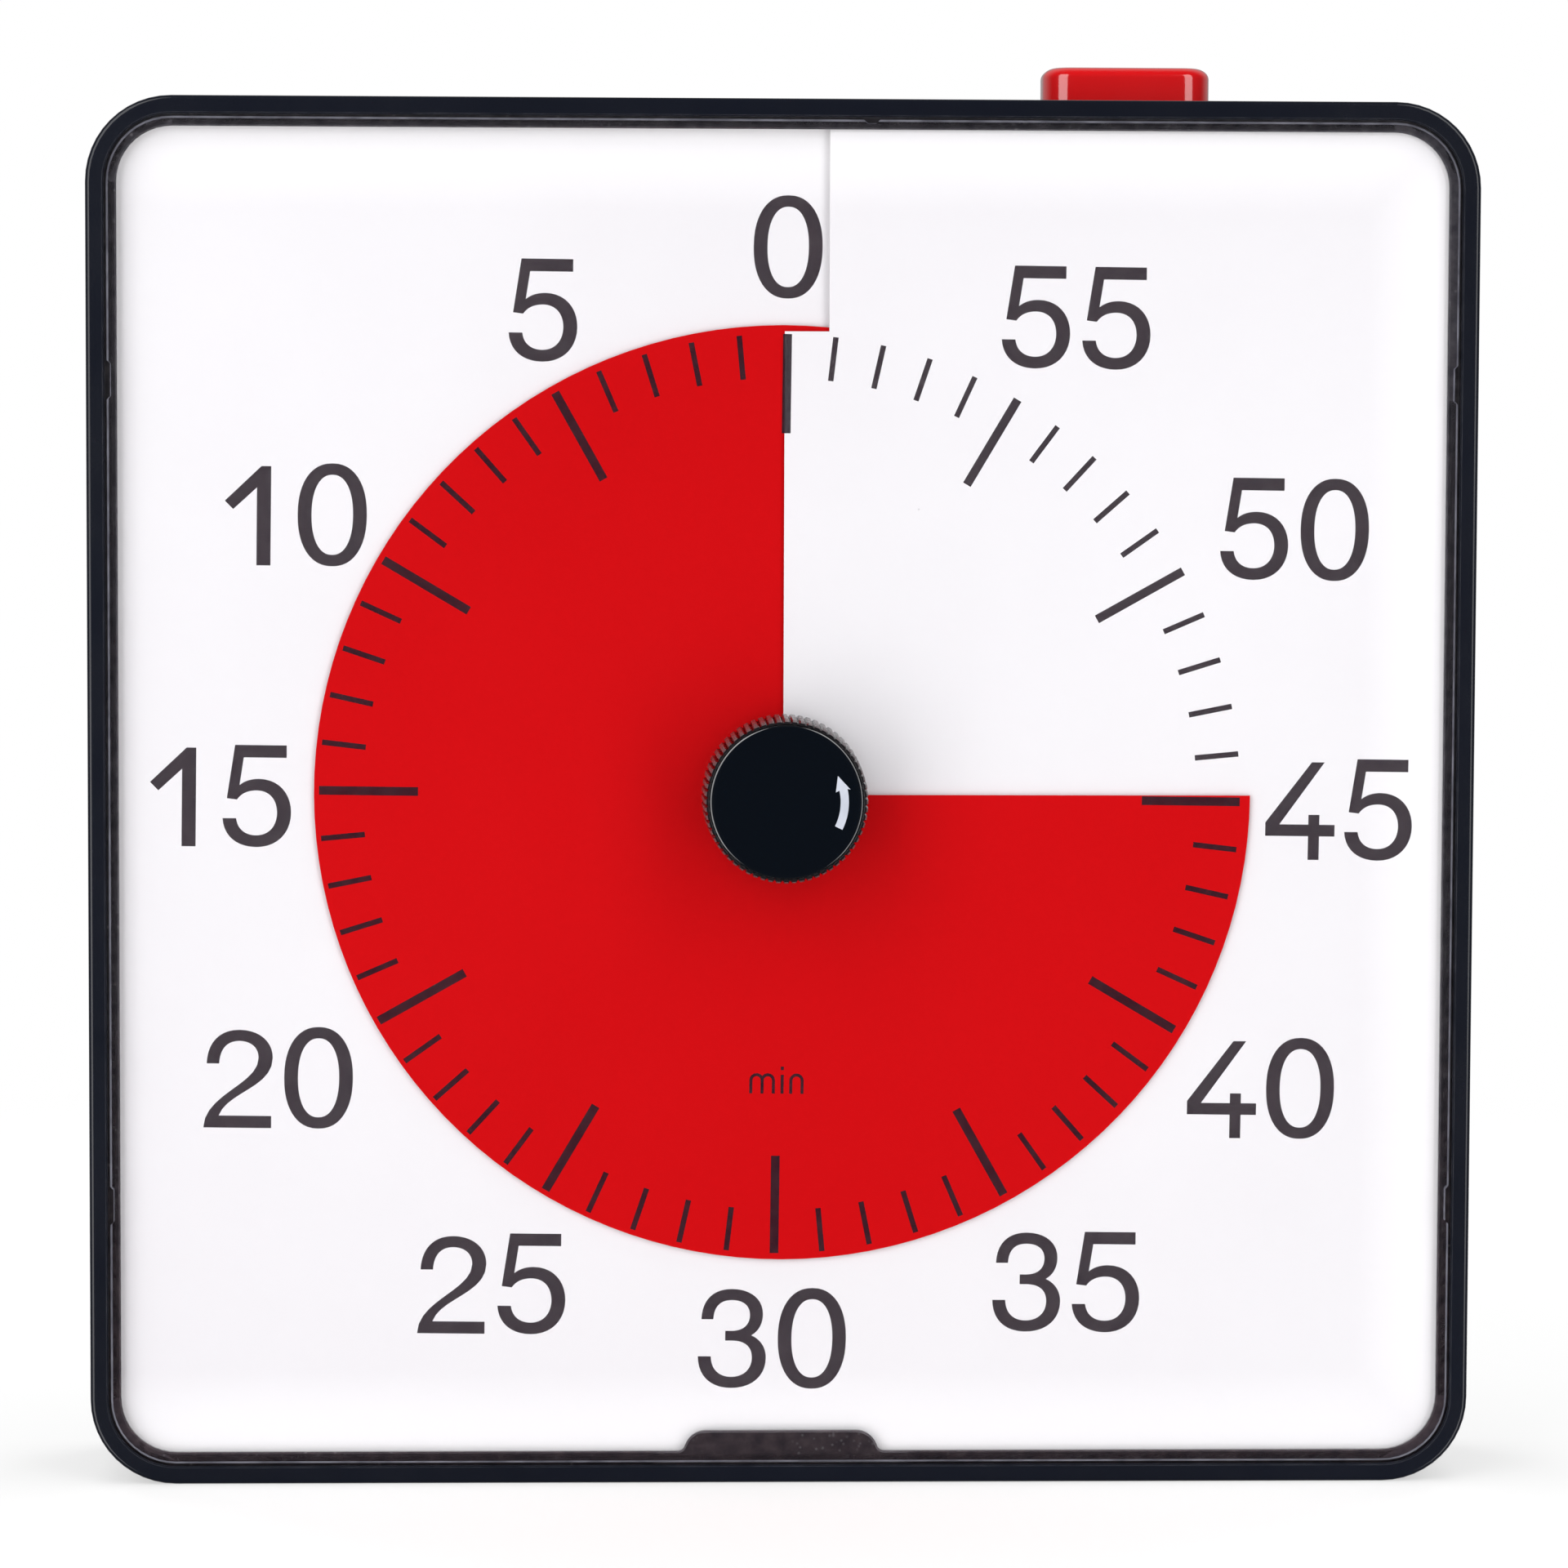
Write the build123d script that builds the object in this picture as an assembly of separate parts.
from build123d import *
import math
import os

# Visual countdown timer, in millimetres.
# X is to the right and Z is up, seen from the front, and the front faces -Y.
# The origin is the centre of the case's flat bottom face.

# ---- Case ----
CASE_SIZE = 190.0                      # width and height of the square case
CASE_CORNER = 11.7                     # corner radius, seen from the front
CASE_FRONT = -16.0
CASE_REAR = 16.0
CASE_SPLIT = -2.0                      # where the bezel meets the rear housing
WALL = 2.5
REAR_WALL = 2.0
RING_WIDTH = 2.5                       # flat front ring of the bezel
LEDGE_WIDTH = 1.57                     # ledge under the clear cover
EDGE_ROUND = 0.6
MOUTH_CHAMFER = 0.2                    # on the ring's inner edge and round the window
REAR_ROUND = 1.6
SEAM = 0.25                            # chamfer each side of the case's seam
LIP_GAP = 0.15                         # lip of the rear housing that steps inside the bezel
LIP_THICK = 1.15
LIP_REACH = 3.0                        # in front of the seam
LIP_ROOT = 2.5                         # behind the seam, where it joins the wall
TAB_WIDTH = 28.0                       # low tab at the middle of the window's bottom edge
TAB_HEIGHT = 2.85
TAB_SLOPE = 68.0                       # degrees
DIAL_HEIGHT = CASE_SIZE / 2            # height of the dial's centre

# ---- Clear cover and dial ----
COVER_DEPTH = 0.4                      # how far the cover lies behind the ring
COVER_THICK = 1.5
COVER_GAP = 0.3
COVER_CHAMFER = 0.3
NOTCH_OFFSET = 56.5                    # side notches, above and below the dial's centre
NOTCH_LENGTH = 5.4
NOTCH_DEPTH = 0.5
GATE_X = 11.7                          # small notch in the top edge, at the moulding gate
GATE_LENGTH = 2.2
LEDGE_THICK = 0.8
COVER_FRONT = CASE_FRONT + COVER_DEPTH
COVER_BACK = COVER_FRONT + COVER_THICK
LEDGE_BACK = COVER_BACK + LEDGE_THICK
POCKET_SIZE = CASE_SIZE - 2 * RING_WIDTH
POCKET_CORNER = CASE_CORNER - RING_WIDTH
WINDOW_SIZE = POCKET_SIZE - 2 * LEDGE_WIDTH
WINDOW_CORNER = POCKET_CORNER - LEDGE_WIDTH

SHEET_THICK = 0.3                      # dial sheet and disc
SHEET_PITCH = 1.2                      # how far a sheet steps back in one turn
SHEET_FRONT = LEDGE_BACK + 0.3         # mid plane of the dial sheet at its front edge
DIAL_SIZE = 182.4
DIAL_CORNER = 7.9
DIAL_HOLE = 8.0
DIAL_OVERLAP = 15.0                    # degrees that the dial runs on behind its front edge
SLIT_OFFSET = 6.1                      # edge of the front layer, outside the disc
DISC_RADIUS = 64.35
FLAP_RADIUS = DISC_RADIUS - 0.85       # the flap of the front layer ends just inside the rim
MINUTES_SHOWN = 45.0
DISC_START = 360.0 * (60.0 - MINUTES_SHOWN) / 60.0

CARRIER_FRONT = -10.2
CARRIER_THICK = 1.5
CARRIER_BACK = CARRIER_FRONT + CARRIER_THICK
CARRIER_SIZE = 184.4
PAD_COUNT = 12
PAD_RADIUS = 2.0
PAD_CIRCLE = 76.0

# ---- Knob and spindle ----
KNOB_RADIUS = 11.3                     # over the ribs, at its base
KNOB_DRAFT = 0.25                      # how much less it is at its front
KNOB_BASE = CASE_FRONT - 0.1
KNOB_FRONT = CASE_FRONT - 11.8
KNOB_RIBS = 64
KNOB_RIB_DEPTH = 0.38
CAP_RADIUS = 10.3
CAP_THICK = 1.2
CAP_RISE = 0.25                        # the cap stands this proud of the knurled rim
CAP_SEAT = KNOB_FRONT + CAP_THICK
KNOB_RIM = 1.15                        # wall of the hollow knob, inside the cap's radius
SPINDLE_RADIUS = 3.0
SPINDLE_FLAT = 2.3                     # distance from the axis to the flat
FIT = 0.05                             # radial clearance of a running fit
HUB_RADIUS = 7.4
HUB_LENGTH = 1.6
BOSS_RADIUS = 5.2

# ---- Movement ----
MOVEMENT_WIDTH = 58.0
MOVEMENT_HEIGHT = 62.0
MOVEMENT_RISE = 1.0                    # its centre above the spindle
MOVEMENT_FRONT = CARRIER_BACK
MOVEMENT_SPLIT = -1.0
MOVEMENT_REAR = 8.5
MOVEMENT_WALL = 1.5
EAR_RADIUS = 3.6                       # ears that take the movement's screws
MODULE = 0.4
ADDENDUM = 0.36
DEDENDUM = 0.52
WHEEL_THICK = 0.8
PINION_LENGTH = 1.4
ARBOR_RADIUS = 0.6
PIVOT_DEPTH = 0.8
CENTRE_TEETH = 60
THIRD_TEETH = 64
SECOND_TEETH = 60
FIFTH_TEETH = 50
SLOW_LEAVES = 8                        # leaves of the third and second pinions
FAST_LEAVES = 10                       # leaves of the fifth and rotor pinions
CENTRE_LAYER = -6.2                    # mid depth of each pair of wheel and pinion
THIRD_LAYER = -4.0
SECOND_LAYER = -1.8
FIFTH_LAYER = 0.4
THIRD_BEARING = 150.0                  # direction from each arbor to the next, degrees
SECOND_BEARING = 40.0
FIFTH_BEARING = -20.0
ROTOR_BEARING = -80.0
BRIDGE_FRONT = -3.2
BRIDGE_BACK = -2.7
STATOR_FRONT = 2.6
STATOR_BACK = 3.8
STATOR_HALF = 11.0                     # half its width
MAGNET_RING_RADIUS = 2.8
COIL_HALF = 5.4                        # half the winding's length
CORE_DROP = 21.25                      # the coil core's axis below the rotor
CORE_HEIGHT = 3.5
CORE_THICK = 1.2

# ---- Push button ----
BUTTON_X = 47.5
BUTTON_WIDTH = 23.1
BUTTON_DEPTH = 11.0
BUTTON_PROUD = 5.3
BUTTON_CORNER = 4.0
BUTTON_ROUND = 1.6
BUTTON_GAP = 0.3
BUTTON_WALL = 1.6
BUTTON_ROOF = 1.8
BUTTON_SKIRT = 5.0                     # length of its wall below the case's top face
BUTTON_CLEAR = 18.0                    # half width of the gap in the housing's lip
FLANGE_THICK = 1.2
FLANGE_REACH = 1.5
STEM_RADIUS = 1.8
POST_RADIUS = 2.8                      # posts over the return springs
FRAME_WIDTH = 32.0                     # bridge under the button
FRAME_DEPTH = 15.0
FRAME_FLOOR = 1.6
FRAME_LEG = 2.8
BUTTON_TRAVEL = 2.5
SPRING_OFFSET = 8.0
SPRING_BASE = 173.6
SPRING_TOP = 184.0
SPRING_WIRE = 0.25                     # radius of its wire

# ---- Kickstand, battery door, switch ----
STAND_WIDTH = 60.0
STAND_TOP = 91.0                       # height of its hinge axis
STAND_FOOT = 6.0
STAND_THICK = 3.0
STAND_AXIS_Y = 14.3
STAND_GAP = 0.4
PIN_RADIUS = 1.2
PIN_REACH = 1.4                        # how far each hinge pin enters the housing
PAD_LENGTH = 36.0                      # rubber strip at its foot
PAD_HEIGHT = 5.0
PAD_THICK = 0.8
BAY_X = -62.0
BAY_WIDTH = 16.4
BAY_LOW = 24.0
BAY_HIGH = 80.0
CELL_RADIUS = 7.25
CELL_LENGTH = 49.5
CELL_Y = 6.1
CELL_FOOT = BAY_LOW + 4.0              # its flat end
DOOR_THICK = 1.8
DOOR_AXIS_Y = CASE_REAR - 1.0
DOOR_TOP = 82.4                        # height of its hinge axis
DOOR_FOOT = 22.0
DOOR_WIDTH = 19.0
DOOR_GAP = 0.3
LEDGE_MARGIN = 2.5                     # ledge round the door
NUB_RADIUS = 0.8                       # nubs on the door that it turns on
NUB_REACH = 1.2
SWITCH_X = 62.0
SWITCH_Z = 150.0
SWITCH_TRAVEL = 2.0
SWITCH_POCKET_WIDTH = 14.0
SWITCH_POCKET_HEIGHT = 8.0
SWITCH_POCKET_DEPTH = 1.6
THUMB_SIZE = 4.0
THUMB_FOOT = 7.0                       # flange of the thumb piece, inside the wall
BUZZER_X = 62.0
BUZZER_Z = 112.0
BUZZER_RADIUS = 13.5
BUZZER_FRONT = 11.8
BUZZER_THICK = 0.3
SOUND_HOLE_RADIUS = 0.9

# ---- Control board ----
BOARD_LEFT = 36.0
BOARD_RIGHT = 76.0
BOARD_LOW = 56.0
BOARD_HIGH = 92.0
BOARD_FRONT = 2.0
BOARD_THICK = 1.4
BOARD_BACK = BOARD_FRONT + BOARD_THICK
BOARD_POSTS = ((40.0, 88.0), (72.0, 60.0))
POST_PIN = 1.5                         # radius of a post's pin
CHIP_X = 56.0
CHIP_Z = 76.0
CHIP_RADIUS = 7.0
CHIP_HEIGHT = 1.6
CRYSTAL_X = 66.0
CRYSTAL_Z = 66.0
CRYSTAL_RADIUS = 1.05
CRYSTAL_LENGTH = 6.2
WIRE_BEND = 3.0

# ---- Hanging, magnets, screws ----
KEYHOLE_Z = 168.0
KEYHOLE_RADIUS = 4.0
KEYSLOT_RADIUS = 2.0
KEYSLOT_LENGTH = 7.0
KEYBOX_WIDTH = 12.6                    # inside of the box that takes the screw's head
KEYBOX_HEIGHT = 19.6
KEYBOX_DEPTH = 5.0
KEYBOX_WALL = 1.2
MAGNET_RADIUS = 6.0
MAGNET_THICK = 3.0
MAGNET_X = 72.0
MAGNET_LOW = 14.0
MAGNET_HIGH = 176.0
SCREW_OFFSET = 82.0                    # screw axes from the dial's centre, both ways
SCREW_RADIUS = 1.45
SCREW_BITE = 0.15                      # how deep its thread cuts into a boss
SCREW_PLAY = 0.2                       # radial play in a clearance hole
SCREW_BOSS = 4.6                       # radius of the housing's screw bosses
SCREW_SEAT = 6.0
HEAD_RADIUS = 2.8
HEAD_THICK = 2.0
FLAT_HEAD_RADIUS = 2.6                 # movement screws
FLAT_HEAD_THICK = 0.7


# ---- Helpers ----
def front_plane(y):
    """A plane seen from the front at depth y, with sketch x = X and sketch y = Z."""
    return Plane(origin=(0, y, 0), x_dir=(1, 0, 0), z_dir=(0, -1, 0))


def slab(outline, front, rear):
    """An outline drawn in X and Z, filled from depth front to depth rear."""
    return extrude(front_plane(rear) * outline, rear - front)


def rod(x, z, radius, front, rear):
    return slab(Pos(x, z) * Circle(radius), front, rear)


def tube(x, z, outer, inner, front, rear):
    return slab(Pos(x, z) * (Circle(outer) - Circle(inner)), front, rear)


def square(size, corner):
    """A rounded square about the dial's centre."""
    return Pos(0, DIAL_HEIGHT) * RectangleRounded(size, size, corner)


def block(low, high):
    """A box between two corners."""
    size = [b - a for a, b in zip(low, high)]
    return Pos(*low) * Box(*size, align=(Align.MIN, Align.MIN, Align.MIN))


def cross_pin(radius, x_low, x_high, y, z):
    """A round pin along X."""
    plane = Plane(origin=(x_low, y, z), x_dir=(0, 1, 0), z_dir=(1, 0, 0))
    return extrude(plane * Circle(radius), x_high - x_low)


def edges_at(body, y):
    """The edges of a body that lie at depth y."""
    return body.edges().filter_by_position(Axis.Y, y - 0.01, y + 0.01)


def corners(offset):
    """The four places at an offset from the dial's centre, both ways."""
    return [(sx * offset, DIAL_HEIGHT + sz * offset) for sx in (-1, 1) for sz in (-1, 1)]


def wire(radius, bend, *points):
    """A held wire: straight runs joined by tangent arcs."""
    path = FilletPolyline(*points, radius=bend)
    start = Plane(origin=path @ 0, z_dir=path % 0)
    return sweep(start * Circle(radius), path=path)


# ---- Sheets ----
def spiral_sheet(inner, outer, start, end, front):
    """A flat sheet cut along one radius, whose turn steps back by SHEET_PITCH.

    Angles are in degrees, clockwise from 12 o'clock. The mid plane passes depth
    front at angle 0, and both start and end may be more than a turn.
    """
    sweep_angle = end - start
    middle = (inner + outer) / 2
    path = Helix(SHEET_PITCH, SHEET_PITCH * sweep_angle / 360, middle)
    section = Plane.XZ * Pos(middle, 0) * Rectangle(outer - inner, SHEET_THICK)
    sheet = sweep(section, path=path, is_frenet=True)
    depth = front + SHEET_PITCH * start / 360
    seat = Plane(origin=(0, depth, DIAL_HEIGHT), x_dir=(0, 0, 1), z_dir=(0, 1, 0))
    return seat * Rot(0, 0, start) * sheet


def dial_sheet():
    """White dial: it starts in front at 12 o'clock and ends behind its own start."""
    diagonal = DIAL_SIZE * math.sqrt(0.5) + 1
    sheet = spiral_sheet(DIAL_HOLE, diagonal, 0, 360 + DIAL_OVERLAP, SHEET_FRONT)
    trim = slab(square(DIAL_SIZE, DIAL_CORNER), CASE_FRONT, CARRIER_FRONT)
    front_layer = SHEET_FRONT + SHEET_PITCH / 2
    slit = block((-1, CASE_FRONT, DIAL_HEIGHT + FLAP_RADIUS), (SLIT_OFFSET, front_layer, CASE_SIZE))
    return (sheet & trim) - slit


def timer_disc():
    """Red disc: one turn, half a pitch in front of the dial where it shows."""
    front = SHEET_FRONT - SHEET_PITCH / 2
    return spiral_sheet(HUB_RADIUS, DISC_RADIUS, DISC_START, DISC_START + 360, front)


def disc_hub():
    """The disc's hub, keyed to the spindle's flat and free to float along it."""
    middle = SHEET_FRONT + SHEET_PITCH * DISC_START / 360
    bore = spindle_section(FIT)
    ring = Pos(0, DIAL_HEIGHT) * Circle(HUB_RADIUS) - bore
    return slab(ring, middle - HUB_LENGTH / 2, middle + HUB_LENGTH / 2)


# ---- Case ----
def window():
    """The bezel's window, with the low tab that stands in from its bottom edge."""
    base = DIAL_HEIGHT - WINDOW_SIZE / 2
    tab = Trapezoid(TAB_WIDTH, TAB_HEIGHT + 1, TAB_SLOPE, align=(Align.CENTER, Align.MIN))
    outline = square(WINDOW_SIZE, WINDOW_CORNER) - Pos(0, base - 1) * tab
    near_tab = outline.vertices().filter_by(lambda corner: abs(corner.X) < TAB_WIDTH / 2)
    feet = near_tab.filter_by(lambda corner: corner.Y < base + 1)
    outline = fillet(feet, 1.0)
    tops = outline.vertices().filter_by(lambda corner: base + 2 < corner.Y < base + 4)
    return fillet(tops, 3.0)


def front_loop(body, y):
    """The edges of the inner loops of a body's front face at depth y."""
    faces = body.faces().filter_by(Axis.Y).filter_by_position(Axis.Y, y - 0.01, y + 0.01)
    face = faces.sort_by(SortBy.AREA)[-1]
    return [edge for loop in face.inner_wires() for edge in loop.edges()]


def front_bezel():
    outside = slab(square(CASE_SIZE, CASE_CORNER), CASE_FRONT, CASE_SPLIT)
    body = fillet(edges_at(outside, CASE_FRONT), EDGE_ROUND)
    body = chamfer(edges_at(body, CASE_SPLIT), SEAM)
    body -= slab(square(POCKET_SIZE, POCKET_CORNER), CASE_FRONT, COVER_BACK)
    body = chamfer(front_loop(body, CASE_FRONT), MOUTH_CHAMFER)
    body -= slab(window(), COVER_BACK, LEDGE_BACK)
    body = chamfer(front_loop(body, COVER_BACK), MOUTH_CHAMFER)
    body -= slab(square(CASE_SIZE - 2 * WALL, CASE_CORNER - WALL), LEDGE_BACK, CASE_SPLIT)
    return body - button_opening()


def cover_notches(half):
    """Shallow notches with slanted ends in the cover's sides, and one at its gate."""
    side_notch = Trapezoid(NOTCH_LENGTH, NOTCH_DEPTH, 45, align=(Align.CENTER, Align.MIN))
    gate_notch = Trapezoid(GATE_LENGTH, NOTCH_DEPTH, 45, align=(Align.CENTER, Align.MIN))
    notches = Pos(GATE_X, DIAL_HEIGHT + half) * Rot(0, 0, 180) * gate_notch
    for side in (-1, 1):
        for height in (-NOTCH_OFFSET, NOTCH_OFFSET):
            notches += Pos(side * half, DIAL_HEIGHT + height) * Rot(0, 0, side * 90) * side_notch
    return slab(notches, COVER_FRONT, COVER_BACK)


def clear_cover():
    size = POCKET_SIZE - 2 * COVER_GAP
    body = slab(square(size, POCKET_CORNER - COVER_GAP), COVER_FRONT, COVER_BACK)
    body = chamfer(edges_at(body, COVER_FRONT), COVER_CHAMFER)
    body -= cover_notches(size / 2)
    return body - rod(0, DIAL_HEIGHT, BOSS_RADIUS + 0.4, CASE_FRONT, COVER_BACK)


def dial_carrier():
    """Plate behind the dial, with a rim, pads at the dial's depth and screw bosses."""
    plate = slab(square(CARRIER_SIZE, CASE_CORNER - WALL), CARRIER_FRONT, CARRIER_BACK)
    rim = square(CARRIER_SIZE, CASE_CORNER - WALL) - square(DIAL_SIZE + 0.8, DIAL_CORNER + 0.3)
    plate += slab(rim, LEDGE_BACK, CARRIER_FRONT)
    for place in range(PAD_COUNT):
        angle = (place + 0.5) * 360 / PAD_COUNT
        x = PAD_CIRCLE * math.sin(math.radians(angle))
        z = DIAL_HEIGHT + PAD_CIRCLE * math.cos(math.radians(angle))
        reach = math.degrees(PAD_RADIUS / PAD_CIRCLE)
        layer = angle + reach + (360 if angle < DIAL_OVERLAP + reach else 0)
        top = SHEET_FRONT + SHEET_PITCH * layer / 360 + SHEET_THICK / 2 + 0.02
        plate += rod(x, z, PAD_RADIUS, top, CARRIER_FRONT)
    plate -= rod(0, DIAL_HEIGHT, HUB_RADIUS + 1, CARRIER_FRONT, CARRIER_BACK)
    for x, z in corners(SCREW_OFFSET):
        plate += rod(x, z, SCREW_BOSS - 0.6, CARRIER_BACK, CASE_SPLIT)
        plate -= rod(x, z, SCREW_RADIUS - SCREW_BITE, CARRIER_BACK, CASE_SPLIT)
    for x, z in movement_screw_places():
        plate -= rod(x, z, SCREW_RADIUS + SCREW_PLAY, CARRIER_FRONT, CARRIER_BACK)
        plate -= rod(x, z, FLAT_HEAD_RADIUS + SCREW_PLAY, CARRIER_FRONT, CARRIER_FRONT + FLAT_HEAD_THICK)
    return plate


def button_opening():
    """The hole in the case's top wall that the push button slides in."""
    hole = RectangleRounded(BUTTON_WIDTH + 2 * BUTTON_GAP, BUTTON_DEPTH + 2 * BUTTON_GAP,
                            BUTTON_CORNER + BUTTON_GAP)
    seat = Plane(origin=(BUTTON_X, 0, CASE_SIZE - 2 * WALL))
    return extrude(seat * hole, 3 * WALL)


def keyhole():
    outline = Pos(0, KEYHOLE_Z) * Circle(KEYHOLE_RADIUS)
    slot_middle = KEYHOLE_Z + KEYSLOT_LENGTH / 2
    outline += Pos(0, slot_middle) * Rectangle(2 * KEYSLOT_RADIUS, KEYSLOT_LENGTH)
    outline += Pos(0, KEYHOLE_Z + KEYSLOT_LENGTH) * Circle(KEYSLOT_RADIUS)
    return slab(outline, CASE_REAR - REAR_WALL, CASE_REAR)


def keyhole_box():
    """The closed box inside the rear wall that takes the hanging screw's head."""
    middle = KEYHOLE_Z + KEYSLOT_LENGTH / 2
    back = CASE_REAR - REAR_WALL
    inner = RectangleRounded(KEYBOX_WIDTH, KEYBOX_HEIGHT, 1.3)
    outer = RectangleRounded(KEYBOX_WIDTH + 2 * KEYBOX_WALL, KEYBOX_HEIGHT + 2 * KEYBOX_WALL, 2.5)
    box = slab(Pos(0, middle) * outer, back - KEYBOX_DEPTH - KEYBOX_WALL, back)
    return box - slab(Pos(0, middle) * inner, back - KEYBOX_DEPTH, back)


def sound_holes():
    back = CASE_REAR - REAR_WALL
    holes = [rod(BUZZER_X, BUZZER_Z, SOUND_HOLE_RADIUS, back, CASE_REAR)]
    for count, circle in ((6, 4.5), (12, 9.0)):
        for index in range(count):
            angle = 2 * math.pi * index / count
            x = BUZZER_X + circle * math.cos(angle)
            z = BUZZER_Z + circle * math.sin(angle)
            holes.append(rod(x, z, SOUND_HOLE_RADIUS, back, CASE_REAR))
    return holes


def stand_recess(grow):
    """The kickstand's recess in the rear wall, or its outer shell when grown."""
    half = STAND_WIDTH / 2 + STAND_GAP + grow
    floor = STAND_AXIS_Y - STAND_THICK / 2 - 0.3 - min(grow, 2.0)
    low = STAND_FOOT - STAND_GAP - grow
    high = STAND_TOP + STAND_THICK / 2 + STAND_GAP + grow
    return block((-half, floor, low), (half, CASE_REAR, high))


def battery_bay(grow):
    """The cell's bay, or its outer shell when grown."""
    half = BAY_WIDTH / 2 + grow
    floor = CELL_Y - CELL_RADIUS - 0.4 - grow
    back = CASE_REAR - REAR_WALL
    return block((BAY_X - half, floor, BAY_LOW - grow), (BAY_X + half, back, BAY_HIGH + grow))


def door_ledge():
    """Ledge round the bay that the closed door rests over."""
    half = DOOR_WIDTH / 2 + LEDGE_MARGIN
    back = CASE_REAR - REAR_WALL
    return block((BAY_X - half, back - 1.6, DOOR_FOOT - LEDGE_MARGIN), (BAY_X + half, back, DOOR_TOP + 3.5))


def door_opening():
    half = DOOR_WIDTH / 2 + DOOR_GAP
    top = DOOR_TOP + DOOR_THICK / 2 + DOOR_GAP
    return block((BAY_X - half, CASE_REAR - REAR_WALL, DOOR_FOOT - DOOR_GAP), (BAY_X + half, CASE_REAR, top))


def switch_pocket(grow):
    """The sound switch's pocket in the rear wall, or its outer shell when grown."""
    half_x = SWITCH_POCKET_WIDTH / 2 + grow
    half_z = SWITCH_POCKET_HEIGHT / 2 + grow
    low = (SWITCH_X - half_x, CASE_REAR - SWITCH_POCKET_DEPTH - grow, SWITCH_Z - half_z)
    return block(low, (SWITCH_X + half_x, CASE_REAR, SWITCH_Z + half_z))


def switch_slot():
    """The slot in the pocket's floor that the thumb piece stands through."""
    half_z = THUMB_SIZE / 2 + 0.3
    half_x = half_z + SWITCH_TRAVEL
    return block((SWITCH_X - half_x, 0, SWITCH_Z - half_z), (SWITCH_X + half_x, CASE_REAR, SWITCH_Z + half_z))


def housing_lip():
    """Lip that steps inside the bezel, joined to the housing's wall behind the seam."""
    inside = CASE_SIZE - 2 * WALL
    corner = CASE_CORNER - WALL
    hollow = square(inside - 2 * (LIP_GAP + LIP_THICK), corner - LIP_GAP - LIP_THICK)
    lip = square(inside - 2 * LIP_GAP, corner - LIP_GAP) - hollow
    root = square(inside + 0.5, corner) - hollow
    body = slab(lip, CASE_SPLIT - LIP_REACH, CASE_SPLIT + LIP_ROOT)
    body += slab(root, CASE_SPLIT + 0.3, CASE_SPLIT + LIP_ROOT)
    top = CASE_SIZE - WALL
    low = (BUTTON_X - BUTTON_CLEAR, CASE_SPLIT - LIP_REACH, top - 4)
    return body - block(low, (BUTTON_X + BUTTON_CLEAR, CASE_SPLIT + LIP_ROOT, top))


def rear_housing():
    back = CASE_REAR - REAR_WALL
    outside = slab(square(CASE_SIZE, CASE_CORNER), CASE_SPLIT, CASE_REAR)
    body = fillet(edges_at(outside, CASE_REAR), REAR_ROUND)
    body = chamfer(edges_at(body, CASE_SPLIT), SEAM)
    body -= slab(square(CASE_SIZE - 2 * WALL, CASE_CORNER - WALL), CASE_SPLIT, back)
    body += housing_lip()
    for x, z in corners(SCREW_OFFSET):
        body += rod(x, z, SCREW_BOSS, CASE_SPLIT + 0.1, back)
    body += stand_recess(2.0) + battery_bay(1.2) + door_ledge() + keyhole_box() + switch_pocket(1.2)
    body += magnet_cups() + board_posts()
    body -= keyhole()
    body -= stand_recess(0)
    body -= battery_bay(0)
    body -= door_opening()
    body -= switch_pocket(0)
    body -= switch_slot()
    body -= sound_holes()
    body -= button_opening()
    for x, z in corners(SCREW_OFFSET):
        body -= rod(x, z, SCREW_RADIUS + SCREW_PLAY, CASE_SPLIT, CASE_REAR)
        body -= rod(x, z, HEAD_RADIUS + 0.4, SCREW_SEAT, CASE_REAR)
    for x, z in magnet_places():
        body -= rod(x, z, MAGNET_RADIUS + 0.1, CASE_REAR - MAGNET_THICK, CASE_REAR)
    pin_reach = STAND_WIDTH / 2 + STAND_GAP + PIN_REACH + 0.2
    body -= cross_pin(PIN_RADIUS + FIT, -pin_reach, pin_reach, STAND_AXIS_Y, STAND_TOP)
    nub_reach = DOOR_WIDTH / 2 + NUB_REACH + 0.2
    return body - cross_pin(NUB_RADIUS + FIT, BAY_X - nub_reach, BAY_X + nub_reach, DOOR_AXIS_Y, DOOR_TOP)


def magnet_places():
    return [(sx * MAGNET_X, z) for sx in (-1, 1) for z in (MAGNET_LOW, MAGNET_HIGH)]


def magnets():
    return [rod(x, z, MAGNET_RADIUS, CASE_REAR - MAGNET_THICK, CASE_REAR) for x, z in magnet_places()]


def magnet_cups():
    """Thick pads inside the rear wall that the magnets' blind holes are cut in."""
    floor = CASE_REAR - MAGNET_THICK - 1
    return [rod(x, z, MAGNET_RADIUS + 1.3, floor, CASE_REAR - REAR_WALL) for x, z in magnet_places()]


def cross_drive(x, z, radius, y):
    """The cross-shaped drive cut into a screw head whose outer face is at y."""
    cross = Rectangle(2 * radius, 0.6) + Rectangle(0.6, 2 * radius)
    return slab(Pos(x, z) * cross, y - 0.8, y)


def case_screws():
    screws = []
    for x, z in corners(SCREW_OFFSET):
        head = SCREW_SEAT + HEAD_THICK
        screw = rod(x, z, SCREW_RADIUS, CARRIER_BACK + 1, SCREW_SEAT + 0.1)
        screw += rod(x, z, HEAD_RADIUS, SCREW_SEAT, head)
        screws.append(screw - cross_drive(x, z, 1.6, head))
    return screws


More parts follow.
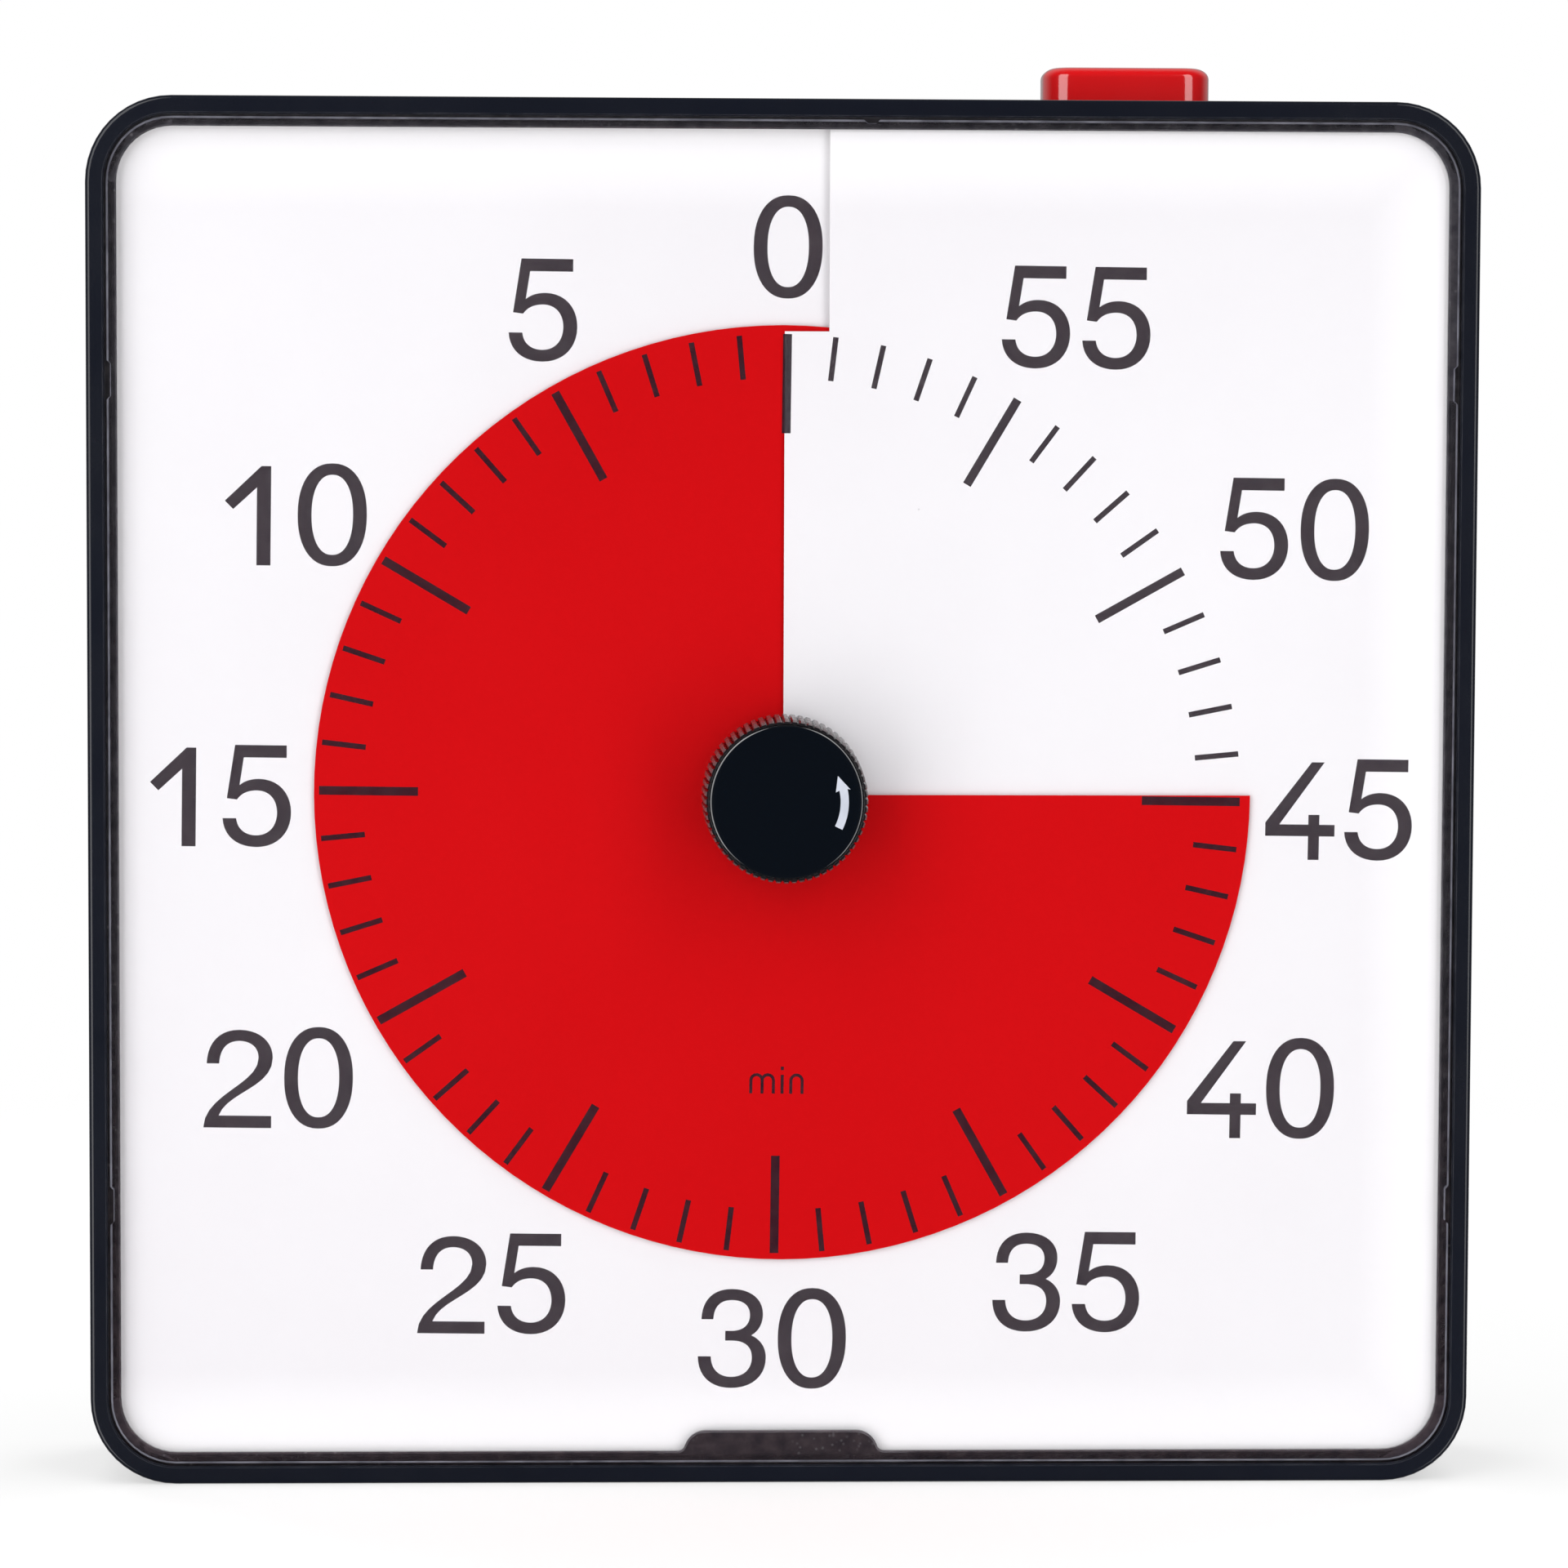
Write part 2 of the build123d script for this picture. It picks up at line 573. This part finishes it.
# ---- Knob ----
def knob_outline(radius, y):
    """A knurled round at depth y: one shallow triangular groove after each rib."""
    points = []
    for index in range(KNOB_RIBS):
        for share, reach in ((-0.3, radius), (0.3, radius), (0.5, radius - KNOB_RIB_DEPTH)):
            angle = 2 * math.pi * (index + share) / KNOB_RIBS
            points.append((reach * math.sin(angle), DIAL_HEIGHT + reach * math.cos(angle)))
    return front_plane(y) * make_face(Polyline(*points, close=True))


def knob():
    base = knob_outline(KNOB_RADIUS, KNOB_BASE)
    front = knob_outline(KNOB_RADIUS - KNOB_DRAFT, KNOB_FRONT + CAP_RISE)
    body = loft([base, front], ruled=True)
    body -= rod(0, DIAL_HEIGHT, CAP_RADIUS + FIT, KNOB_FRONT, CAP_SEAT)
    body -= tube(0, DIAL_HEIGHT, CAP_RADIUS - KNOB_RIM, BOSS_RADIUS, CAP_SEAT + 1.5, KNOB_BASE)
    body += rod(0, DIAL_HEIGHT, BOSS_RADIUS, KNOB_BASE - 1, COVER_BACK + 0.2)
    return body - slab(spindle_section(0), CAP_SEAT + 2, CASE_REAR)


def knob_cap():
    """Glossy cap with a narrow bevel at its edge."""
    cap = rod(0, DIAL_HEIGHT, CAP_RADIUS, KNOB_FRONT, CAP_SEAT)
    return chamfer(edges_at(cap, KNOB_FRONT), 0.25)


def spindle_section(grow):
    """A round with one flat, about the spindle's axis."""
    round_part = Circle(SPINDLE_RADIUS + grow)
    flat = Pos(0, SPINDLE_RADIUS + SPINDLE_FLAT + grow) * Rectangle(20, 2 * SPINDLE_RADIUS)
    return Pos(0, DIAL_HEIGHT) * (round_part - flat)


def spindle():
    wheel_rear = CENTRE_LAYER + WHEEL_THICK / 2 + 0.2
    flatted = slab(spindle_section(0), CAP_SEAT + 2, CARRIER_FRONT)
    shank = rod(0, DIAL_HEIGHT, SPINDLE_RADIUS, CARRIER_FRONT, wheel_rear)
    collar = rod(0, DIAL_HEIGHT, 1.5 * SPINDLE_RADIUS, wheel_rear, wheel_rear + 0.8)
    return flatted + shank + collar


def clutch_washer():
    """Spring washer that drags the centre wheel and lets the knob slip past it."""
    wheel_front = CENTRE_LAYER - WHEEL_THICK / 2
    return tube(0, DIAL_HEIGHT, 5.0, SPINDLE_RADIUS, wheel_front - 0.45, wheel_front - 0.05)


# ---- Movement ----
def step_from(place, distance, bearing):
    """The place at a distance from another, in a direction in degrees from +X."""
    angle = math.radians(bearing)
    return (place[0] + distance * math.cos(angle), place[1] + distance * math.sin(angle))


def mesh_distance(teeth, leaves):
    return MODULE * (teeth + leaves) / 2


CENTRE = (0.0, DIAL_HEIGHT)
THIRD = step_from(CENTRE, mesh_distance(CENTRE_TEETH, SLOW_LEAVES), THIRD_BEARING)
SECOND = step_from(THIRD, mesh_distance(THIRD_TEETH, SLOW_LEAVES), SECOND_BEARING)
FIFTH = step_from(SECOND, mesh_distance(SECOND_TEETH, FAST_LEAVES), FIFTH_BEARING)
ROTOR = step_from(FIFTH, mesh_distance(FIFTH_TEETH, FAST_LEAVES), ROTOR_BEARING)


def toothed(place, teeth, bearing, tooth_there, front, rear):
    """A toothed disc with a tooth, or a gap, centred on the bearing to its mate."""
    radius = MODULE * teeth / 2
    pitch = 2 * math.pi / teeth
    turn = math.radians(bearing) + (0 if tooth_there else pitch / 2)
    # half the angular width of a tooth at its root and at its tip, as a share of the pitch
    profile = ((-0.21, radius - DEDENDUM), (-0.07, radius + ADDENDUM),
               (0.07, radius + ADDENDUM), (0.21, radius - DEDENDUM))
    points = []
    for index in range(teeth):
        for share, reach in profile:
            angle = turn + (index + share) * pitch
            points.append((place[0] + reach * math.cos(angle), place[1] + reach * math.sin(angle)))
    return slab(make_face(Polyline(*points, close=True)), front, rear)


def wheel_disc(place, teeth, bearing, layer, bore):
    """A wheel with six round windows."""
    front = layer - WHEEL_THICK / 2
    rear = layer + WHEEL_THICK / 2
    radius = MODULE * teeth / 2
    disc = toothed(place, teeth, bearing, True, front, rear)
    for index in range(6):
        x, z = step_from(place, radius * 0.62, 60 * index)
        disc -= rod(x, z, radius * 0.17, front, rear)
    return disc - rod(place[0], place[1], bore, front, rear)


def pinion(place, leaves, bearing, layer):
    return toothed(place, leaves, bearing + 180, False, layer - PINION_LENGTH / 2, layer + PINION_LENGTH / 2)


def centre_wheel():
    return wheel_disc(CENTRE, CENTRE_TEETH, THIRD_BEARING, CENTRE_LAYER, SPINDLE_RADIUS + FIT)


def third_wheel():
    body = wheel_disc(THIRD, THIRD_TEETH, SECOND_BEARING, THIRD_LAYER, ARBOR_RADIUS / 2)
    body += pinion(THIRD, SLOW_LEAVES, THIRD_BEARING, CENTRE_LAYER)
    return body + arbor(THIRD, MOVEMENT_FRONT + MOVEMENT_WALL)


def second_wheel():
    body = wheel_disc(SECOND, SECOND_TEETH, FIFTH_BEARING, SECOND_LAYER, ARBOR_RADIUS / 2)
    body += pinion(SECOND, SLOW_LEAVES, SECOND_BEARING, THIRD_LAYER)
    return body + arbor(SECOND, MOVEMENT_FRONT + MOVEMENT_WALL)


def fifth_wheel():
    body = wheel_disc(FIFTH, FIFTH_TEETH, ROTOR_BEARING, FIFTH_LAYER, ARBOR_RADIUS / 2)
    body += pinion(FIFTH, FAST_LEAVES, FIFTH_BEARING, SECOND_LAYER)
    return body + arbor(FIFTH, BRIDGE_BACK + PIVOT_DEPTH - 0.4)


def rotor_pinion():
    body = pinion(ROTOR, FAST_LEAVES, ROTOR_BEARING, FIFTH_LAYER)
    return body + arbor(ROTOR, BRIDGE_BACK + PIVOT_DEPTH - 0.4)


def rotor_magnet():
    return tube(ROTOR[0], ROTOR[1], MAGNET_RING_RADIUS, ARBOR_RADIUS, STATOR_FRONT - 0.3, STATOR_BACK + 0.3)


def arbor(place, front_face):
    """A round arbor whose ends turn in blind holes in the two plates."""
    return rod(place[0], place[1], ARBOR_RADIUS, front_face - PIVOT_DEPTH,
               MOVEMENT_REAR - MOVEMENT_WALL + PIVOT_DEPTH)


def pivot_hole(place, front, rear):
    return rod(place[0], place[1], ARBOR_RADIUS + FIT, front, rear)


def movement_outline(shrink):
    return Pos(0, DIAL_HEIGHT + MOVEMENT_RISE) * RectangleRounded(
        MOVEMENT_WIDTH - 2 * shrink, MOVEMENT_HEIGHT - 2 * shrink, 4.0 - shrink)


def movement_screw_places():
    x = MOVEMENT_WIDTH / 2 + EAR_RADIUS - 0.4
    z = MOVEMENT_HEIGHT / 2 - 8
    middle = DIAL_HEIGHT + MOVEMENT_RISE
    return [(sx * x, middle + sz * z) for sx in (-1, 1) for sz in (-1, 1)]


def movement_front():
    body = slab(movement_outline(0), MOVEMENT_FRONT, MOVEMENT_SPLIT)
    body -= slab(movement_outline(MOVEMENT_WALL), MOVEMENT_FRONT + MOVEMENT_WALL, MOVEMENT_SPLIT)
    for x, z in movement_screw_places():
        body += rod(x, z, EAR_RADIUS, MOVEMENT_FRONT, MOVEMENT_FRONT + 2)
        body -= rod(x, z, SCREW_RADIUS - SCREW_BITE, MOVEMENT_FRONT, MOVEMENT_FRONT + 2)
    body -= rod(0, DIAL_HEIGHT, SPINDLE_RADIUS + FIT, MOVEMENT_FRONT, MOVEMENT_SPLIT)
    inner = MOVEMENT_FRONT + MOVEMENT_WALL
    for place in (THIRD, SECOND):
        body -= pivot_hole(place, inner - PIVOT_DEPTH - FIT, inner)
    return body


def movement_rear():
    body = slab(movement_outline(0), MOVEMENT_SPLIT, MOVEMENT_REAR)
    body -= slab(movement_outline(MOVEMENT_WALL), MOVEMENT_SPLIT, MOVEMENT_REAR - MOVEMENT_WALL)
    inner = MOVEMENT_REAR - MOVEMENT_WALL
    for place in (THIRD, SECOND, FIFTH, ROTOR):
        body -= pivot_hole(place, inner, inner + PIVOT_DEPTH + FIT)
    return body


def train_bridge():
    """Plate inside the movement that carries the front pivots of the fast arbors."""
    body = slab(movement_outline(MOVEMENT_WALL + 0.1), BRIDGE_FRONT, BRIDGE_BACK)
    for place in (THIRD, SECOND):
        body -= rod(place[0], place[1], SLOW_LEAVES * MODULE / 2 + 1, BRIDGE_FRONT, BRIDGE_BACK)
    for place in (FIFTH, ROTOR):
        body -= pivot_hole(place, BRIDGE_FRONT, BRIDGE_BACK)
    return body


def movement_screws():
    screws = []
    for x, z in movement_screw_places():
        head = rod(x, z, FLAT_HEAD_RADIUS, CARRIER_FRONT, CARRIER_FRONT + FLAT_HEAD_THICK)
        screws.append(head + rod(x, z, SCREW_RADIUS, CARRIER_FRONT, MOVEMENT_FRONT + 3))
    return screws


def stator():
    """Flat iron frame round the rotor, open at the foot, where the coil core bridges it."""
    x, z = ROTOR
    frame = Pos(x, z - 9.5) * Rectangle(2 * STATOR_HALF, 27)
    frame -= Pos(x, z - 14.5) * Rectangle(2 * COIL_HALF + 2.2, 19)
    frame -= Pos(x, z) * Circle(MAGNET_RING_RADIUS + 0.6)
    return slab(frame, STATOR_FRONT, STATOR_BACK)


def around_core(half_length, grow_y, grow_z):
    """A block round the coil core's axis, grown from the core's own section."""
    x, z = ROTOR
    half_z = CORE_HEIGHT / 2 + grow_z
    middle = z - CORE_DROP
    return block((x - half_length, STATOR_BACK - grow_y, middle - half_z),
                 (x + half_length, STATOR_BACK + CORE_THICK + grow_y, middle + half_z))


def coil_core():
    return around_core(STATOR_HALF, 0, 0)


def coil_former():
    """Sleeve on the core with a flange at each end of the winding."""
    x, z = ROTOR
    body = around_core(COIL_HALF + 0.5, 0.4, 0.4)
    flanges = around_core(COIL_HALF + 0.9, 1.6, 1.5)
    for side in (-1, 1):
        middle = x + side * (COIL_HALF + 0.5)
        body += flanges & block((middle - 0.4, 0, 0), (middle + 0.4, 10, CASE_SIZE))
    return body - around_core(STATOR_HALF + 1, 0.05, 0.05)


def coil_winding():
    outside = around_core(COIL_HALF, 1.3, 1.2)
    rounded = fillet(outside.edges().filter_by(Axis.X), 0.8)
    return rounded - around_core(COIL_HALF + 1, 0.4, 0.4)


# ---- Electrics ----
def control_board():
    board = block((BOARD_LEFT, BOARD_FRONT, BOARD_LOW), (BOARD_RIGHT, BOARD_BACK, BOARD_HIGH))
    return board - [rod(x, z, POST_PIN + 0.1, BOARD_FRONT, BOARD_BACK) for x, z in BOARD_POSTS]


def board_posts():
    """Posts inside the rear housing that the control board is pressed on."""
    posts = [rod(x, z, 2 * POST_PIN, BOARD_BACK, CASE_REAR - REAR_WALL) for x, z in BOARD_POSTS]
    return posts + [rod(x, z, POST_PIN, BOARD_FRONT - 0.4, BOARD_BACK) for x, z in BOARD_POSTS]


def chip_cover():
    """The round blob of resin over the timer's chip."""
    ball_radius = (CHIP_RADIUS ** 2 + CHIP_HEIGHT ** 2) / (2 * CHIP_HEIGHT)
    ball = Pos(CHIP_X, BOARD_FRONT - CHIP_HEIGHT + ball_radius, CHIP_Z) * Sphere(ball_radius)
    reach = CHIP_RADIUS + 1
    return ball & block((CHIP_X - reach, 0, CHIP_Z - reach), (CHIP_X + reach, BOARD_FRONT, CHIP_Z + reach))


def quartz_crystal():
    lying = Rot(0, 90, 0) * Cylinder(CRYSTAL_RADIUS, CRYSTAL_LENGTH)
    return Pos(CRYSTAL_X, BOARD_FRONT - CRYSTAL_RADIUS - 0.05, CRYSTAL_Z) * lying


def battery_cell():
    """An AA cell standing along Z, with its positive nub at the top."""
    seat = Plane(origin=(BAY_X, CELL_Y, CELL_FOOT))
    body = extrude(seat * Circle(CELL_RADIUS), CELL_LENGTH - 1)
    body = fillet(body.edges().filter_by(GeomType.CIRCLE), 0.5)
    return body + extrude(seat * Circle(2.6), CELL_LENGTH)


def coil_spring(radius, wire_radius, turn, centre, length):
    """A round wire spring standing on a place, its wire's middle on the radius."""
    path = Helix(turn, length - 2 * wire_radius, radius, center=Vector(*centre) + Vector(0, 0, wire_radius))
    section = Plane(origin=path @ 0, z_dir=path % 0) * Circle(wire_radius)
    return sweep(section, path=path, is_frenet=True)


def battery_spring():
    """Coil contact under the cell's flat end."""
    return coil_spring(3.4, SPRING_WIRE, 1.3, (BAY_X, CELL_Y, BAY_LOW + 0.05), CELL_FOOT - BAY_LOW - 0.1)


def battery_plate():
    low = CELL_FOOT + CELL_LENGTH + 0.05
    return block((BAY_X - 5, CELL_Y - 5, low), (BAY_X + 5, CELL_Y + 5, low + 0.5))


def battery_wire(from_z, side_step, run_z, rise_x, to_z):
    """A wire from the bay's wall, down, along under the movement and up to the board's edge."""
    start = BAY_X + BAY_WIDTH / 2 + 1.2
    run_y = 4.0
    board_y = BOARD_FRONT + BOARD_THICK / 2
    return wire(0.6, WIRE_BEND, (start, run_y, from_z), (start + side_step, run_y, from_z),
                (start + side_step, run_y, run_z), (rise_x, run_y, run_z),
                (rise_x, board_y, to_z), (BOARD_LEFT, board_y, to_z))


def battery_wires():
    upper = battery_wire(76, 6, 54, BOARD_LEFT - 4, 70)
    lower = battery_wire(30, 10, 50, BOARD_LEFT - 5, 62)
    return [upper, lower]


def buzzer_disc():
    return rod(BUZZER_X, BUZZER_Z, BUZZER_RADIUS, BUZZER_FRONT, BUZZER_FRONT + BUZZER_THICK)


def buzzer_holder():
    """Ring on the rear wall that clips the buzzer disc by its edge."""
    back = CASE_REAR - REAR_WALL
    hold = BUZZER_RADIUS + 0.1
    ring = tube(BUZZER_X, BUZZER_Z, hold + 1.3, hold, BUZZER_FRONT - 1, back)
    return ring + tube(BUZZER_X, BUZZER_Z, hold, BUZZER_RADIUS - 1, BUZZER_FRONT + BUZZER_THICK, back)


def buzzer_wires():
    """Two wires from the buzzer disc's face down to the board."""
    wires = []
    start = BUZZER_Z - 5
    turn_y = 7.0
    end = BOARD_HIGH - 4
    for x in (BUZZER_X - 2, BUZZER_X + 2):
        top = (x, BUZZER_FRONT, start)
        foot = (x, BOARD_BACK, end)
        wires.append(wire(0.5, 2.5, top, (x, turn_y, start), (x, turn_y, end), foot))
    return wires


def switch_body():
    low = (SWITCH_X - 2 * THUMB_SIZE, 5.0, SWITCH_Z - THUMB_SIZE - 0.5)
    return block(low, (SWITCH_X + 2 * THUMB_SIZE, 10.3, SWITCH_Z + THUMB_SIZE + 0.5))


def switch_slider():
    """Thumb piece of the sound switch, with grooves for grip."""
    half = THUMB_SIZE / 2
    foot = THUMB_FOOT / 2
    top = CASE_REAR - 0.2
    body = block((SWITCH_X - half, 11.4, SWITCH_Z - half), (SWITCH_X + half, top, SWITCH_Z + half))
    body += block((SWITCH_X - foot, 10.5, SWITCH_Z - foot), (SWITCH_X + foot, 11.6, SWITCH_Z + foot))
    for groove in (-1.2, 0, 1.2):
        low = (SWITCH_X + groove - 0.25, top - 0.3, SWITCH_Z - half)
        body -= block(low, (SWITCH_X + groove + 0.25, top, SWITCH_Z + half))
    return body


# ---- Push button ----
def level(z):
    """A plane at height z under the push button's middle."""
    return Plane(origin=(BUTTON_X, 0, z))


def reset_button():
    """Hollow button with a retaining flange, a stem over its switch and a post over each spring."""
    top = CASE_SIZE + BUTTON_PROUD
    base = CASE_SIZE - BUTTON_SKIRT
    ceiling = top - BUTTON_ROOF
    outline = RectangleRounded(BUTTON_WIDTH, BUTTON_DEPTH, BUTTON_CORNER)
    body = extrude(level(base) * outline, top - base)
    body = fillet(body.edges().group_by(Axis.Z)[-1], BUTTON_ROUND)
    hollow = RectangleRounded(BUTTON_WIDTH - 2 * BUTTON_WALL, BUTTON_DEPTH - 2 * BUTTON_WALL,
                              BUTTON_CORNER - BUTTON_WALL)
    body -= extrude(level(base) * hollow, ceiling - base)
    flange = RectangleRounded(BUTTON_WIDTH + 2 * FLANGE_REACH, BUTTON_DEPTH + 2 * FLANGE_REACH, BUTTON_CORNER)
    body += extrude(level(base - FLANGE_THICK) * (flange - hollow), FLANGE_THICK)
    body += extrude(level(base - 1) * Circle(STEM_RADIUS), ceiling + 0.3 - base + 1)
    for side in (-1, 1):
        post = Pos(side * SPRING_OFFSET, 0) * Circle(POST_RADIUS)
        body += extrude(level(SPRING_TOP) * post, ceiling + 0.3 - SPRING_TOP)
    return body


def button_frame():
    """Bridge under the button that carries its switch and its springs."""
    half_x = FRAME_WIDTH / 2
    half_y = FRAME_DEPTH / 2
    low = SPRING_BASE - FRAME_FLOOR
    frame = block((BUTTON_X - half_x, -half_y, low), (BUTTON_X + half_x, half_y, SPRING_BASE))
    for side in (-1, 1):
        near = BUTTON_X + side * (half_x - FRAME_LEG / 2)
        frame += block((near - FRAME_LEG / 2, -half_y, low), (near + FRAME_LEG / 2, half_y, CASE_SIZE - WALL))
    return frame


def button_switch():
    """Small push switch under the button's stem."""
    high = CASE_SIZE - BUTTON_SKIRT - BUTTON_TRAVEL - 2
    case = block((BUTTON_X - 3, -3, SPRING_BASE), (BUTTON_X + 3, 3, high))
    return case + extrude(level(high) * Circle(1.6), 0.9)


def button_springs():
    """Two return springs between the frame and the button's posts."""
    length = SPRING_TOP - SPRING_BASE
    return [coil_spring(2.2, SPRING_WIRE, 1.7, (BUTTON_X + side * SPRING_OFFSET, 0, SPRING_BASE), length)
            for side in (-1, 1)]


# ---- Kickstand and battery door ----
def flap(x, width, foot, axis_y, axis_z, thickness):
    """A flat flap that hangs from a hinge axis and ends round about it."""
    half = thickness / 2
    plane = Plane(origin=(x - width / 2, axis_y, axis_z), x_dir=(0, 1, 0), z_dir=(1, 0, 0))
    profile = Circle(half) + Pos(0, (foot - axis_z) / 2) * Rectangle(thickness, axis_z - foot)
    return extrude(plane * profile, width)


def kickstand():
    """Flap that folds out behind the case, with a shallow sunk panel."""
    body = flap(0, STAND_WIDTH, STAND_FOOT, STAND_AXIS_Y, STAND_TOP, STAND_THICK)
    rear = STAND_AXIS_Y + STAND_THICK / 2
    middle = (STAND_FOOT + STAND_TOP) / 2
    panel = Pos(0, middle + 4) * RectangleRounded(STAND_WIDTH - 16, 54.0, 5.0)
    body -= slab(panel, rear - 0.8, rear)
    foot = body.edges().filter_by(Axis.Y).sort_by(Axis.Z)[:2]
    body = fillet(foot, 5.0)
    body -= stand_pad()
    return body - cross_pin(PIN_RADIUS, -STAND_WIDTH, STAND_WIDTH, STAND_AXIS_Y, STAND_TOP)


def kickstand_pins():
    inner = STAND_WIDTH / 2 - 8
    outer = STAND_WIDTH / 2 + STAND_GAP + PIN_REACH
    ends = ((-outer, -inner), (inner, outer))
    return [cross_pin(PIN_RADIUS, low, high, STAND_AXIS_Y, STAND_TOP) for low, high in ends]


def stand_pad():
    """Rubber strip let into the kickstand's outer face near its foot."""
    outline = Pos(0, STAND_FOOT + PAD_HEIGHT) * RectangleRounded(PAD_LENGTH, PAD_HEIGHT, PAD_HEIGHT / 2 - 0.1)
    rear = STAND_AXIS_Y + STAND_THICK / 2
    return slab(outline, rear - PAD_THICK, rear)


def battery_door():
    """Door over the battery, with nubs that it turns on and grip grooves at its foot."""
    body = flap(BAY_X, DOOR_WIDTH, DOOR_FOOT, DOOR_AXIS_Y, DOOR_TOP, DOOR_THICK)
    reach = DOOR_WIDTH / 2 + NUB_REACH
    body += cross_pin(NUB_RADIUS, BAY_X - reach, BAY_X + reach, DOOR_AXIS_Y, DOOR_TOP)
    rear = DOOR_AXIS_Y + DOOR_THICK / 2
    for groove in range(4):
        z = DOOR_FOOT + 5 + 1.6 * groove
        body -= block((BAY_X - 5, rear - 0.4, z), (BAY_X + 5, rear, z + 0.7))
    return body


PIECES = {
    "front_bezel": front_bezel,
    "clear_cover": clear_cover,
    "dial_sheet": dial_sheet,
    "dial_carrier": dial_carrier,
    "rear_housing": rear_housing,
    "magnets": magnets,
    "case_screws": case_screws,
    "timer_disc": timer_disc,
    "disc_hub": disc_hub,
    "knob": knob,
    "knob_cap": knob_cap,
    "spindle": spindle,
    "clutch_washer": clutch_washer,
    "centre_wheel": centre_wheel,
    "third_wheel": third_wheel,
    "second_wheel": second_wheel,
    "fifth_wheel": fifth_wheel,
    "rotor_pinion": rotor_pinion,
    "rotor_magnet": rotor_magnet,
    "movement_front": movement_front,
    "movement_rear": movement_rear,
    "train_bridge": train_bridge,
    "movement_screws": movement_screws,
    "stator": stator,
    "coil_core": coil_core,
    "coil_former": coil_former,
    "coil_winding": coil_winding,
    "control_board": control_board,
    "chip_cover": chip_cover,
    "quartz_crystal": quartz_crystal,
    "battery_cell": battery_cell,
    "battery_spring": battery_spring,
    "battery_plate": battery_plate,
    "battery_wires": battery_wires,
    "buzzer_disc": buzzer_disc,
    "buzzer_holder": buzzer_holder,
    "buzzer_wires": buzzer_wires,
    "switch_body": switch_body,
    "switch_slider": switch_slider,
    "reset_button": reset_button,
    "button_frame": button_frame,
    "button_switch": button_switch,
    "button_springs": button_springs,
    "kickstand": kickstand,
    "kickstand_pins": kickstand_pins,
    "stand_pad": stand_pad,
    "battery_door": battery_door,
}

os.makedirs("parts", exist_ok=True)
for node, make in PIECES.items():
    piece = make()
    shape = Compound(children=piece) if isinstance(piece, list) else piece
    export_step(shape, f"parts/{node}.step")
